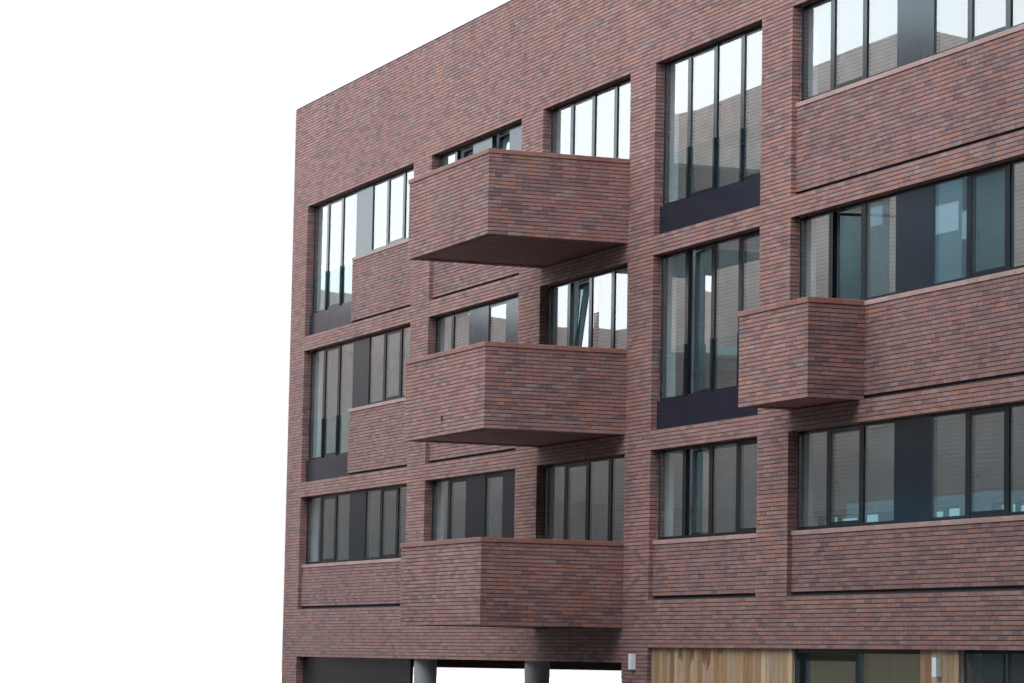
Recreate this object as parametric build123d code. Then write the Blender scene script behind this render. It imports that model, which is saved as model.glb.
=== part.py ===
"""A four-storey brick apartment block, five bays long, with an open undercroft at one end.

The front has recessed window bays between brick piers, three deep brick balconies over each
other, one shallow balcony, full-height French windows and a timber-clad ground floor with a
sliding patio door. X runs along the front, Y runs into the building and Z is up. While the
pieces are made, X = 0 is the left end, Y = 0 the face of the front brickwork and Z = 0 the
ground. They are then moved so that the origin is at the middle of the base.
"""
import os

from build123d import *

# Grid of the front, from left to right
pier_width = 1000
bay_widths = (6600, 4580, 3730, 3800, 6750)
bay_modules = (7, 5, 4, 4, 7)
undercroft_bays = 3

# Heights, set out in whole courses of brick
upper_storeys = 3
course_height = 60
storey_courses = 50
head_courses = 44
undercroft_head_courses = 40
sill_foot_courses = 20
first_recess_courses = 6
top_band_courses = 36
floor_above_datum = 50
parapet_height = 1180

# Thicknesses and depths
building_depth = 12000
wall_thickness = 400
recess_depth = 70
slab_thickness = 300
ground_slab_thickness = 120
roof_covering_thickness = 120
roof_slab_thickness = 300
passage_wall_thickness = 300
ceiling_thickness = 350
coping_thickness = 70
coping_overhang = 15
roof_coping_thickness = 40

# Shadow groove, one course high, along the foot of each recessed panel of brickwork
groove_depth = 60
flashing_thickness = 12
flashing_setback = 6

# Windows
frame_setback = 150
frame_depth = 80
frame_face = 45
mullion_face = 50
glass_thickness = 30
glass_setback_in_frame = 15
infill_thickness = 60
infill_cover = 6
sash_face = 35
sash_depth = 64
sash_setback = 4
sill_thickness = 70
sill_overhang = 12
sill_slope = 10
drip_groove = 8

# French windows: a black tray at the foot, posts and a glass guard in front
tray_height = 450
tray_thickness = 50
guard_height = 1260
guard_post_face = 45
guard_post_depth = 30
guard_glass_thickness = 16
guard_glass_gap = 12
guard_glass_foot = 60

# Balconies
balcony_reach = 2350
balcony_bay = 2
small_balcony_reach = 770
small_balcony_bay = 4
small_balcony_module_count = 2
small_balcony_storey = 2
parapet_wall = 220
balcony_slab_thickness = 200
balcony_soffit_recess = 15

# Undercroft
column_radius = 210
column_setback = 270
screen_thickness = 60
screen_setback = 150

# Ground floor front
cladding_setback = 70
cladding_thickness = 35
timber_left_width = 4860
patio_width = 3700
timber_right_width = 1000
leaf_width = 1860
leaf_stile = 95
leaf_depth = 56
leaf_overlap = 95
leaf_clearance = 8
door_frame_face = 60
door_frame_depth = 170
door_front_setback = 110
threshold_height = 60
fixed_glass_front = 40
leaf_front = 95
handle_height = 1050
handle_length = 260
handle_radius = 11
handle_post_radius = 8
handle_stand_off = 42
roller_radius = 18
roller_width = 12
roller_inset = 250
running_gap = 0.3

# Lights on the wall
light_width = 110
light_height = 240
light_depth = 75
light_drop = 100

storey_height = storey_courses * course_height
head_height = head_courses * course_height
undercroft_head = undercroft_head_courses * course_height
sill_foot = sill_foot_courses * course_height
sill_above_datum = sill_foot + sill_thickness
first_recess_height = storey_height + first_recess_courses * course_height
groove_height = course_height
brick_top = upper_storeys * storey_height + head_height + top_band_courses * course_height
roof_surface = brick_top - parapet_height
light_top = head_height - light_drop
datums = [storey_height * number for number in range(upper_storeys + 1)]
length = pier_width * (len(bay_widths) + 1) + sum(bay_widths)
bay_left = [pier_width * (number + 1) + sum(bay_widths[:number]) for number in range(len(bay_widths))]
bay_right = [left + width for left, width in zip(bay_left, bay_widths)]
pier_left = [0] + bay_right
front_shift = (balcony_reach - building_depth) / 2
glass_front = frame_setback + glass_setback_in_frame


def block(x0, x1, y0, y1, z0, z1):
    """A straight-sided solid between two corners."""
    corner = (Align.MIN, Align.MIN, Align.MIN)
    return Pos(x0, y0, z0) * Box(x1 - x0, y1 - y0, z1 - z0, align=corner)


def bar_along_x(x0, x1, outline):
    """A bar with a constant outline, given as (y, z) points, from x0 to x1."""
    face = make_face(Polyline([(0, y, z) for y, z in outline], close=True))
    return Pos(x0, 0, 0) * extrude(face, amount=x1 - x0, dir=(1, 0, 0))


def recess_bottom(storey, bay):
    """Height of the foot of the recess that a bay's windows of one storey stand in."""
    if storey == 0:
        return 0
    if storey == 1 and bay != balcony_bay:
        return first_recess_height
    return datums[storey] - groove_height


def to_rear(piece):
    """The same piece turned to the rear wall."""
    return mirror(piece, Plane.XZ.offset(-building_depth / 2))


def full_height_modules(storey, bay):
    """How many window modules, from the left of a bay, run down to the floor."""
    if storey == 0:
        return 0
    if bay == balcony_bay:
        return bay_modules[bay]
    if bay == small_balcony_bay:
        return small_balcony_module_count if storey == small_balcony_storey else 0
    if storey > 1 and bay == 3:
        return bay_modules[bay]
    if storey > 1 and bay == 0:
        return 3
    return 0


def infill_modules(bay):
    """Which modules of a bay hold a solid panel and no glass."""
    if bay_modules[bay] == 7:
        return (3,)
    if bay_modules[bay] == 5:
        return (2, 4)
    return ()


def sash_modules(bay):
    """Which modules of a bay open, in a sash of their own."""
    if bay == balcony_bay:
        return (1,)
    if bay_modules[bay] == 4:
        return (1, 3)
    return (1, bay_modules[bay] - 2)


def module_width(bay):
    return bay_widths[bay] / bay_modules[bay]


def door_foot(storey, bay):
    """Height of the foot of the frame of a full-height window."""
    if bay in (balcony_bay, small_balcony_bay):
        return recess_bottom(storey, bay) + balcony_slab_thickness
    return recess_bottom(storey, bay) + tray_height


# Brickwork

def piers(foot_heights):
    """Full-height brick piers, each on its own foot height."""
    solids = []
    for left, foot in zip(pier_left, foot_heights):
        solids.append(block(left, left + pier_width, 0, wall_thickness, foot, brick_top))
    return solids


def bands(storey):
    """Brick between the heads of one storey and the recesses of the next."""
    solids = []
    for bay, (left, right) in enumerate(zip(bay_left, bay_right)):
        head = datums[storey] + head_height
        if storey == 0 and bay < undercroft_bays:
            head = undercroft_head
        top = brick_top if storey == upper_storeys else recess_bottom(storey + 1, bay)
        solids.append(block(left, right, 0, wall_thickness, head, top))
    return solids


def spandrel(x0, x1, foot, top):
    """Recessed brickwork under a window, with the shadow groove along its foot."""
    outline = (
        (recess_depth + groove_depth, foot),
        (wall_thickness, foot),
        (wall_thickness, top),
        (recess_depth, top),
        (recess_depth, foot + groove_height),
        (recess_depth + groove_depth, foot + groove_height),
    )
    return bar_along_x(x0, x1, outline)


def sill(x0, x1, top):
    """A fired-clay sill that slopes outwards, with a drip groove under its nose."""
    nose = recess_depth - sill_overhang
    outline = (
        (nose, top - sill_thickness),
        (nose + drip_groove, top - sill_thickness),
        (nose + drip_groove, top - sill_thickness + drip_groove / 2),
        (recess_depth, top - sill_thickness + drip_groove / 2),
        (recess_depth, top - sill_thickness),
        (wall_thickness, top - sill_thickness),
        (wall_thickness, top),
        (frame_setback, top),
        (nose, top - sill_slope),
    )
    return bar_along_x(x0, x1, outline)


# Windows

def window_frame(x0, x1, z0, z1, modules, pitch):
    """An outer frame with mullions, cut as one piece round its panes."""
    frame = block(x0, x1, frame_setback, frame_setback + frame_depth, z0, z1)
    for px0, px1, pz0, pz1 in pane_places(x0, z0, z1, modules, pitch):
        frame -= block(px0, px1, frame_setback, frame_setback + frame_depth, pz0, pz1)
    return frame.solid()


def pane_places(x0, z0, z1, modules, pitch):
    """Corners of the pane hole in each module of a window."""
    places = []
    for number in range(modules):
        start = x0 + number * pitch + (frame_face if number == 0 else mullion_face / 2)
        end = x0 + (number + 1) * pitch - (frame_face if number == modules - 1 else mullion_face / 2)
        places.append((start, end, z0 + frame_face, z1 - frame_face))
    return places


def sash(x0, x1, z0, z1):
    """The narrow frame of an opening sash, inside one module of a window frame."""
    front = frame_setback + sash_setback
    ring = block(x0, x1, front, front + sash_depth, z0, z1)
    ring -= block(x0 + sash_face, x1 - sash_face, front, front + sash_depth, z0 + sash_face, z1 - sash_face)
    return ring.solid()


def infill_panel(x0, x1, z0, z1, sides, foot, head):
    """A panel in one module, behind a cover plate that also hides the bars beside it."""
    core = block(x0, x1, frame_setback, frame_setback + infill_thickness, z0, z1)
    cover = block(x0 - sides[0], x1 + sides[1], frame_setback - infill_cover, frame_setback, foot, head)
    return (core + cover).solid()


def windows(storey, plain):
    """Frames, opening sashes, glass panes and infill panels of one storey, bay by bay."""
    frames = []
    sashes = []
    panes = []
    panels = []
    for bay, left in enumerate(bay_left):
        if storey == 0 and (bay < undercroft_bays or not plain):
            continue
        pitch = module_width(bay)
        tall = 0 if plain else full_height_modules(storey, bay)
        head = datums[storey] + head_height
        stretches = []
        if tall:
            stretches.append((left, door_foot(storey, bay), tall, 0))
        if tall < bay_modules[bay]:
            start = left + tall * pitch
            stretches.append((start, datums[storey] + sill_above_datum, bay_modules[bay] - tall, tall))
        joined = []
        for start, foot, modules, first in stretches:
            joined.append(window_frame(start, start + modules * pitch, foot, head, modules, pitch))
            for number, (px0, px1, pz0, pz1) in enumerate(pane_places(start, foot, head, modules, pitch)):
                if first + number in infill_modules(bay):
                    last = number == modules - 1
                    sides = (mullion_face, frame_face if last else mullion_face)
                    panels.append(infill_panel(px0, px1, pz0, pz1, sides, foot, head))
                    continue
                edge = 0
                if first + number in sash_modules(bay):
                    edge = sash_face
                    sashes.append(sash(px0, px1, pz0, pz1))
                panes.append(
                    block(
                        px0 + edge,
                        px1 - edge,
                        glass_front,
                        glass_front + glass_thickness,
                        pz0 + edge,
                        pz1 - edge,
                    )
                )
        frames.append(joined[0] if len(joined) == 1 else (joined[0] + joined[1]).clean().solid())
    return frames, sashes, panes, panels


def groove_flashing(x0, x1, foot):
    """The thin metal edge that lies on the brickwork at the foot of the shadow groove."""
    front = recess_depth + flashing_setback
    return block(x0, x1, front, recess_depth + groove_depth, foot, foot + flashing_thickness)


def under_windows(storey, plain):
    """Recessed brickwork, sills and groove flashings under the ribbon windows of one storey."""
    spandrels = []
    sills = []
    flashings = []
    for bay, (left, right) in enumerate(zip(bay_left, bay_right)):
        if storey == 0 and (bay < undercroft_bays or not plain):
            continue
        tall = 0 if plain else full_height_modules(storey, bay)
        start = left + tall * module_width(bay)
        if tall == bay_modules[bay]:
            continue
        foot = recess_bottom(storey, bay)
        top = datums[storey] + sill_above_datum
        spandrels.append(spandrel(start, right, foot, top - sill_thickness))
        sills.append(sill(start, right, top))
        flashings.append(groove_flashing(start, right, foot))
    return spandrels, sills, flashings


def thresholds():
    """Brick and concrete behind the balcony slabs and trays, under the full-height windows."""
    solids = []
    for storey in range(1, upper_storeys + 1):
        for bay, left in enumerate(bay_left):
            tall = full_height_modules(storey, bay)
            if tall:
                right = left + tall * module_width(bay)
                foot = recess_bottom(storey, bay)
                solids.append(block(left, right, frame_setback, wall_thickness, foot, door_foot(storey, bay)))
    return solids


def guarded_windows():
    """Each French window that has a tray and a guard: left end, modules, pitch and foot."""
    places = []
    for storey in range(1, upper_storeys + 1):
        for bay, left in enumerate(bay_left):
            tall = full_height_modules(storey, bay)
            if tall and bay not in (balcony_bay, small_balcony_bay):
                places.append((left, tall, module_width(bay), recess_bottom(storey, bay)))
    return places


def french_trays():
    """Folded black trays that close the foot of each French window."""
    solids = []
    for left, modules, pitch, foot in guarded_windows():
        front = frame_setback - tray_thickness
        right = left + modules * pitch
        solids.append(block(left, right, front, frame_setback, foot, foot + tray_height))
    return solids


def guard_posts():
    """Posts of the guards, one in front of each mullion, standing on the tray."""
    solids = []
    for left, modules, pitch, foot in guarded_windows():
        for number in range(1, modules):
            middle = left + number * pitch
            low = foot + tray_height
            solids.append(
                block(
                    middle - guard_post_face / 2,
                    middle + guard_post_face / 2,
                    frame_setback - guard_post_depth,
                    frame_setback,
                    low,
                    foot + guard_height,
                )
            )
    return solids


def guard_panes():
    """Glass of the guards, between the posts and up to the jambs."""
    solids = []
    for left, modules, pitch, foot in guarded_windows():
        low = foot + tray_height + guard_glass_foot
        middle = frame_setback - guard_post_depth / 2
        for number in range(modules):
            start = left + number * pitch + (0 if number == 0 else guard_post_face / 2)
            end = left + (number + 1) * pitch - (0 if number == modules - 1 else guard_post_face / 2)
            solids.append(
                block(
                    start,
                    end,
                    middle - guard_glass_thickness / 2,
                    middle + guard_glass_thickness / 2,
                    low,
                    foot + guard_height - guard_glass_gap,
                )
            )
    return solids


# Balconies

def balcony(x0, x1, reach, storey, right_end):
    """Slab, walls and copings of one brick balcony, whose right wall ends at right_end."""
    foot = recess_bottom(storey, balcony_bay)
    top = datums[storey] + sill_above_datum
    wall_top = top - coping_thickness
    inner_front = parapet_wall - reach
    slab = block(
        x0 + parapet_wall,
        x1 - parapet_wall,
        inner_front,
        frame_setback,
        foot + balcony_soffit_recess,
        foot + balcony_slab_thickness,
    )
    walls = block(x0, x1, -reach, inner_front, foot, wall_top)
    walls += block(x0, x0 + parapet_wall, inner_front, frame_setback, foot, wall_top)
    walls += block(x1 - parapet_wall, x1, inner_front, right_end, foot, wall_top)
    out = coping_overhang
    coping_front = parapet_wall + out - reach
    front_coping = block(x0 - out, x1 + out, -reach - out, coping_front, wall_top, top)
    left_coping = block(x0 - out, x0 + parapet_wall + out, coping_front, 0, wall_top, top)
    left_coping += block(x0, x0 + parapet_wall + out, 0, frame_setback, wall_top, top)
    right_coping_end = min(right_end, recess_depth - sill_overhang)
    right_coping = block(x1 - parapet_wall - out, x1 + out, coping_front, 0, wall_top, top)
    right_coping += block(x1 - parapet_wall - out, x1, 0, right_coping_end, wall_top, top)
    return slab, walls.clean().solid(), front_coping, [left_coping.clean().solid(), right_coping.clean().solid()]


# Ground floor front

infill_left = pier_left[undercroft_bays] + pier_width
infill_right = pier_left[-1]
patio_left = infill_left + timber_left_width
patio_right = patio_left + patio_width
timber_right_end = patio_right + timber_right_width


def patio_frame():
    """Outer frame of the patio door with its fixed-side mullion, and a step-free threshold."""
    back = door_front_setback + door_frame_depth
    frame = block(patio_left, patio_right, door_front_setback, back, 0, head_height)
    inner_left = patio_left + door_frame_face
    inner_right = patio_right - door_frame_face
    inner_top = head_height - door_frame_face
    frame -= block(inner_left, inner_right, door_front_setback, back, threshold_height, inner_top)
    stile_left = patio_left + door_frame_face + leaf_width - leaf_overlap
    frame += block(
        stile_left,
        stile_left + leaf_stile,
        door_front_setback,
        door_front_setback + leaf_front - leaf_clearance,
        threshold_height,
        inner_top,
    )
    return frame.solid()


def patio_fixed_pane():
    start = patio_left + door_frame_face + leaf_width - leaf_overlap + leaf_stile
    front = door_front_setback + fixed_glass_front
    end = patio_right - door_frame_face
    return block(start, end, front, front + glass_thickness, threshold_height, head_height - door_frame_face)


leaf_left = patio_left + door_frame_face + leaf_clearance
leaf_right = leaf_left + leaf_width - leaf_clearance
leaf_low = threshold_height + leaf_clearance
leaf_high = head_height - door_frame_face - leaf_clearance
leaf_face = door_front_setback + leaf_front


def patio_leaf():
    """The sliding leaf: two stiles and two rails round one pane, on two rollers."""
    leaf = block(leaf_left, leaf_right, leaf_face, leaf_face + leaf_depth, leaf_low, leaf_high)
    leaf -= block(
        leaf_left + leaf_stile,
        leaf_right - leaf_stile,
        leaf_face,
        leaf_face + leaf_depth,
        leaf_low + leaf_stile,
        leaf_high - leaf_stile,
    )
    axle_height = threshold_height + running_gap + roller_radius
    for x in (leaf_left + roller_inset, leaf_right - roller_inset):
        wheel = Rot(90, 0, 0) * Cylinder(roller_radius, roller_width)
        leaf += Pos(x, leaf_face + leaf_depth / 2, axle_height) * wheel
    return leaf.solid()


def patio_leaf_pane():
    front = leaf_face + (leaf_depth - glass_thickness) / 2
    return block(
        leaf_left + leaf_stile,
        leaf_right - leaf_stile,
        front,
        front + glass_thickness,
        leaf_low + leaf_stile,
        leaf_high - leaf_stile,
    )


def patio_handle():
    """A pull handle on the inner side of the closing stile: a round bar on two stand-offs."""
    middle = leaf_left + leaf_stile / 2
    back = leaf_face + leaf_depth
    low = handle_height - handle_length / 2
    bar = Pos(middle, back + handle_stand_off, handle_height) * Cylinder(handle_radius, handle_length)
    handle = bar
    for height in (low + handle_length / 5, low + handle_length * 4 / 5):
        post = Rot(90, 0, 0) * Cylinder(handle_post_radius, handle_stand_off)
        handle += Pos(middle, back + handle_stand_off / 2, height) * post
    return handle.solid()


def end_window():
    """Full-height window at the right of the timber, up to the end pier."""
    modules = 2
    pitch = (infill_right - timber_right_end) / modules
    frame = window_frame(timber_right_end, infill_right, 0, head_height, modules, pitch)
    panes = []
    for px0, px1, pz0, pz1 in pane_places(timber_right_end, 0, head_height, modules, pitch):
        panes.append(block(px0, px1, glass_front, glass_front + glass_thickness, pz0, pz1))
    return frame, panes


def timber_stretches():
    return ((infill_left, patio_left), (patio_right, timber_right_end))


# Export

def save(name, pieces):
    """Moves the pieces to the origin at the middle of the base and writes them as one file."""
    shift = Pos(-length / 2, front_shift, 0)
    moved = [shift * piece for piece in pieces]
    shape = moved[0] if len(moved) == 1 else Compound(moved)
    export_step(shape, f"parts/{name}.step")


def write_brickwork():
    front_feet = [0, undercroft_head, undercroft_head, 0, head_height, 0]
    rear_feet = [0, undercroft_head, undercroft_head, 0, 0, 0]
    save("front_piers", piers(front_feet))
    save("rear_piers", [to_rear(solid) for solid in piers(rear_feet)])
    all_bands = []
    front_spandrels = []
    rear_spandrels = []
    all_sills = []
    all_flashings = []
    for storey in range(upper_storeys + 1):
        all_bands += bands(storey)
        spandrels, sills, flashings = under_windows(storey, plain=True)
        rear_spandrels += [to_rear(solid) for solid in spandrels]
        all_sills += [to_rear(solid) for solid in sills]
        all_flashings += [to_rear(solid) for solid in flashings]
        spandrels, sills, flashings = under_windows(storey, plain=False)
        front_spandrels += spandrels
        all_sills += sills
        all_flashings += flashings
    save("front_bands", all_bands)
    save("rear_bands", [to_rear(solid) for solid in all_bands])
    save("front_spandrels", front_spandrels)
    save("rear_spandrels", rear_spandrels)
    save("window_sills", all_sills)
    save("groove_flashings", all_flashings)
    save("front_thresholds", thresholds())


def write_shell():
    inner_front = wall_thickness
    inner_rear = building_depth - wall_thickness
    inner_left = wall_thickness
    inner_right = length - wall_thickness
    passage_left = pier_left[undercroft_bays]
    passage_right = passage_left + passage_wall_thickness
    slab_under = storey_height + floor_above_datum - slab_thickness
    save("left_end_wall", [block(0, inner_left, inner_front, inner_rear, undercroft_head, brick_top)])
    save("right_end_wall", [block(inner_right, length, inner_front, inner_rear, 0, brick_top)])
    save("passage_wall", [block(passage_left, passage_right, inner_front, inner_rear, 0, slab_under)])
    save("ground_floor", [block(passage_right, inner_right, inner_front, inner_rear, 0, ground_slab_thickness)])
    for storey in range(1, upper_storeys + 1):
        top = datums[storey] + floor_above_datum
        floor = block(inner_left, inner_right, inner_front, inner_rear, top - slab_thickness, top)
        save(f"floor_level_{storey}", [floor])
    ceiling = block(inner_left, passage_left, inner_front, inner_rear, undercroft_head, slab_under)
    save("undercroft_ceiling", [ceiling])
    covering_low = roof_surface - roof_covering_thickness
    slab_low = covering_low - roof_slab_thickness
    save("roof_slab", [block(inner_left, inner_right, inner_front, inner_rear, slab_low, covering_low)])
    save("roof_covering", [block(inner_left, inner_right, inner_front, inner_rear, covering_low, roof_surface)])
    save("roof_coping", [roof_coping()])


def roof_coping():
    """A thin metal coping round the top of the outer walls."""
    out = coping_overhang
    top = brick_top + roof_coping_thickness
    inner = wall_thickness + out
    ring = block(-out, length + out, -out, building_depth + out, brick_top, top)
    ring -= block(inner, length - inner, inner, building_depth - inner, brick_top, top)
    return ring.solid()


def write_windows():
    rear_frames = []
    rear_sashes = []
    rear_panes = []
    front_sashes = []
    front_panes = []
    panels = []
    for storey in range(upper_storeys + 1):
        frames, sashes, panes, infills = windows(storey, plain=True)
        rear_frames += [to_rear(solid) for solid in frames]
        rear_sashes += [to_rear(solid) for solid in sashes]
        rear_panes += [to_rear(solid) for solid in panes]
        panels += [to_rear(solid) for solid in infills]
        if storey:
            frames, sashes, panes, infills = windows(storey, plain=False)
            save(f"front_window_frames_level_{storey}", frames)
            front_sashes += sashes
            front_panes += panes
            panels += infills
    save("front_opening_sashes", front_sashes)
    save("front_glass", front_panes)
    save("rear_window_frames", rear_frames)
    save("rear_opening_sashes", rear_sashes)
    save("rear_glass", rear_panes)
    save("infill_panels", panels)
    save("french_window_trays", french_trays())
    save("french_guard_posts", guard_posts())
    save("french_guard_glass", guard_panes())


def write_balconies():
    left = bay_left[balcony_bay]
    right = bay_right[balcony_bay]
    small_left = bay_left[small_balcony_bay]
    small_width = small_balcony_module_count * module_width(small_balcony_bay) + parapet_wall
    places = [
        (f"balcony_{storey}", left, right, balcony_reach, storey, frame_setback)
        for storey in range(1, upper_storeys + 1)
    ]
    small_right = small_left + small_width
    places.append(
        ("small_balcony", small_left, small_right, small_balcony_reach, small_balcony_storey, recess_depth)
    )
    front_copings = []
    side_copings = []
    for name, x0, x1, reach, storey, right_end in places:
        slab, walls, front_coping, pair = balcony(x0, x1, reach, storey, right_end)
        save(f"{name}_slab", [slab])
        save(f"{name}_walls", [walls])
        front_copings.append(front_coping)
        side_copings += pair
    save("balcony_front_copings", front_copings)
    save("balcony_side_copings", side_copings)


def write_undercroft():
    columns = []
    for number in (1, 2):
        middle = pier_left[number] + pier_width / 2
        for y in (column_setback, building_depth - column_setback):
            columns.append(Pos(middle, y, undercroft_head / 2) * Cylinder(column_radius, undercroft_head))
    save("undercroft_columns", columns)
    screen_end = screen_setback + screen_thickness
    screen = block(bay_left[0], bay_right[0], screen_setback, screen_end, 0, undercroft_head)
    save("undercroft_screen", [screen])


def write_ground_floor():
    clad_back = cladding_setback + cladding_thickness
    boards = [block(x0, x1, cladding_setback, clad_back, 0, head_height) for x0, x1 in timber_stretches()]
    backing = [block(x0, x1, clad_back, wall_thickness, 0, head_height) for x0, x1 in timber_stretches()]
    save("timber_cladding", boards)
    save("ground_front_wall", backing)
    save("patio_door_frame", [patio_frame()])
    save("patio_door_leaf", [patio_leaf()])
    save("patio_door_glass", [patio_leaf_pane()])
    save("patio_door_handle", [patio_handle()])
    frame, panes = end_window()
    save("end_window_frame", [frame])
    save("ground_front_glass", [patio_fixed_pane()] + panes)


def write_lights():
    pier_middle = pier_left[undercroft_bays] + pier_width / 2
    timber_middle = (patio_right + timber_right_end) / 2
    solids = []
    for middle, face in ((pier_middle, 0), (timber_middle, cladding_setback)):
        low = light_top - light_height
        half = light_width / 2
        solids.append(block(middle - half, middle + half, face - light_depth, face, low, light_top))
    save("wall_lights", solids)


os.makedirs("parts", exist_ok=True)
write_brickwork()
write_shell()
write_windows()
write_balconies()
write_undercroft()
write_ground_floor()
write_lights()
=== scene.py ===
"""Looks of a brick apartment block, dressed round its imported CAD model.

Lengths are metres. Pieces are laid out in the axes of the building: u runs along the front from
the left end, v runs from the front face into the building and z is the height above the ground.
"""

import math

import bpy
import numpy as np
from mathutils import Matrix, Vector


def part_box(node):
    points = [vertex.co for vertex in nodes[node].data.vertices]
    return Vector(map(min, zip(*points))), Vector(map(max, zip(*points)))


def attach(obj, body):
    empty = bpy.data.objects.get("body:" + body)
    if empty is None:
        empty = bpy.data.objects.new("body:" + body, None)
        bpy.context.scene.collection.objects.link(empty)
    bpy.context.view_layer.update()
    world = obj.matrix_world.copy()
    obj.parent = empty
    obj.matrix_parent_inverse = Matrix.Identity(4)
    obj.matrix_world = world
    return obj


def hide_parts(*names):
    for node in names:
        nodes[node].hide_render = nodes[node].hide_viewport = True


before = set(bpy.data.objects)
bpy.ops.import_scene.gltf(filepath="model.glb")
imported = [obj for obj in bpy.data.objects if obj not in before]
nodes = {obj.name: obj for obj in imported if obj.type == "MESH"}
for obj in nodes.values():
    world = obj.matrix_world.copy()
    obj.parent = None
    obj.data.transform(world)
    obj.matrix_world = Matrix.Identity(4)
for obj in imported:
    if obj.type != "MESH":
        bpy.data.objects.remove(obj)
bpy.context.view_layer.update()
chance = np.random.default_rng(24)

# Building, from the frame
wall_low, wall_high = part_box("front_piers")
left_end = wall_low.x
front_face = wall_low.y
length = wall_high.x - wall_low.x
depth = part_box("rear_piers")[1].y - wall_low.y
brick_top = wall_high.z
wall_thickness = wall_high.y - wall_low.y
roof_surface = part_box("roof_covering")[1].z

# Grid of the front
pier_width = 1.0
bay_widths = (6.6, 4.58, 3.73, 3.8, 6.75)
bay_modules = (7, 5, 4, 4, 7)
bay_halves = (60, 42, 34, 34, 61)
pier_halves = 9
undercroft_bays = 3
left_french_bay = 0
left_french_modules = 3
balcony_bay = 2
french_bay = 3
small_balcony_bay = 4
small_balcony_modules = 2
small_balcony_storey = 2
bays = range(len(bay_widths))
bay_left = [pier_width * (n + 1) + sum(bay_widths[:n]) for n in bays]
bay_right = [left + width for left, width in zip(bay_left, bay_widths)]
infill_left = bay_left[undercroft_bays]
infill_right = bay_right[-1]

# Heights
course = 0.06
storey_height = 3.0
storeys = (1, 2, 3)
head_height = 2.64
undercroft_head = 2.4
first_recess = 3.36
groove_height = course
sill_foot = 1.2
sill_top = 1.27
sill_thickness = sill_top - sill_foot
end_trim_height = 0.17
end_trim_depths = (0.1, 0.3)
small = 1e-4

# Depths behind the face of the brickwork
recess_depth = 0.07
groove_depth = 0.06
sill_overhang = 0.012
sill_nose = recess_depth - sill_overhang
frame_setback = 0.15
brick_overlap = 0.01
reveal_depth = frame_setback + brick_overlap
glass_setback = 0.165
sash_setback = 0.154
fixed_pane_setback = 0.15
cladding_setback = 0.07

# Windows and doors
frame_face = 0.045
mullion_face = 0.05
cover_face = 0.12
cover_thickness = 0.003
glass_thickness = 0.03
glass_depths = (glass_setback, glass_setback + glass_thickness)
glass_rebate = 0.003
sash_face = 0.035
sash_depth = 0.064
sash_gap = 0.004
lever_height_share = 0.45
door_frame_face = 0.06
pane_lean = 0.0012
ground_pane_lean = 0.001

# Cladding boards
cladding_thickness = 0.035
board_pitch = 0.145
board_gap = 0.006
board_play = 0.002
# Every board is darker for at least this drop below its head.
head_band_drop = 0.04

# Balconies
balcony_reach = 2.35
small_balcony_reach = 0.77
parapet_wall = 0.22
balcony_slab_thickness = 0.2
tray_height = 0.45
coping_overhang = 0.015
coping_ease = 0.006
foot_brick_depth = parapet_wall / 2 - 0.004

# Bricks, clay units and flashings
half_brick = 1 / pier_halves
bed_joint = 0.011
head_joint = 0.003
joint_rake = 0.010
brick_depth = 0.05
brick_width = 0.102
brick_length = 0.215
brick_play = 0.002
corner_share = 0.4
rise_share = 0.3
least_bat = 0.07
header_share = 1.6
clay_unit = 0.3
clay_joint = 0.005
nose_round = 0.006
nose_drops = (0.014, 0.009)
drip_places = (0.008, 0.012, 0.020, 0.024)
drip_height = 0.006
flashing_unit = 2.5
flashing_joint = 0.002
flashing_nose = 0.022
flashing_gap = 0.002
flashing_fall = 0.006
flashing_setback = 0.004

# Roof and outlets
sheet_width = 1.05
half_lap = 0.04
lap_thickness = 0.003
upstand_thickness = 0.006
strip_thickness = 0.012
strip_height = 0.05
outlet_width = 0.1
outlet_height = 0.06
outlet_rim = 0.01
rim_depths = (-0.005, 0.01)
mouth_depths = (-0.001, 0.01)
roof_outlet = (13.3, 12.72)
balcony_outlet = (1.83, 6.21)


# Meshes

class Wall:
    """A wall face: s runs along it, d runs into it and z is the height."""

    def __init__(self, origin, along, inward):
        self.origin = np.array([*origin, 0.0])
        self.along = np.array([*along, 0.0])
        self.inward = np.array([*inward, 0.0])
        self.turned = np.cross(self.along, self.inward)[2] < 0

    def place(self, points):
        """Points given as s, d, z, in the row frame."""
        points = np.asarray(points, float)
        placed = points[..., 0:1] * self.along + points[..., 1:2] * self.inward
        placed = placed + self.origin + points[..., 2:3] * np.array([0.0, 0.0, 1.0])
        return placed + np.array([left_end, front_face, 0.0])


front = Wall((0, 0), (1, 0), (0, 1))
rear = Wall((0, depth), (1, 0), (0, -1))
left_side = Wall((0, 0), (0, 1), (1, 0))
right_side = Wall((length, 0), (0, 1), (-1, 0))

BOX_FACES = np.array([
    [0, 1, 3, 2],
    [4, 6, 7, 5],
    [0, 4, 5, 1],
    [0, 2, 6, 4],
    [1, 5, 7, 3],
    [2, 3, 7, 6],
])


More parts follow.
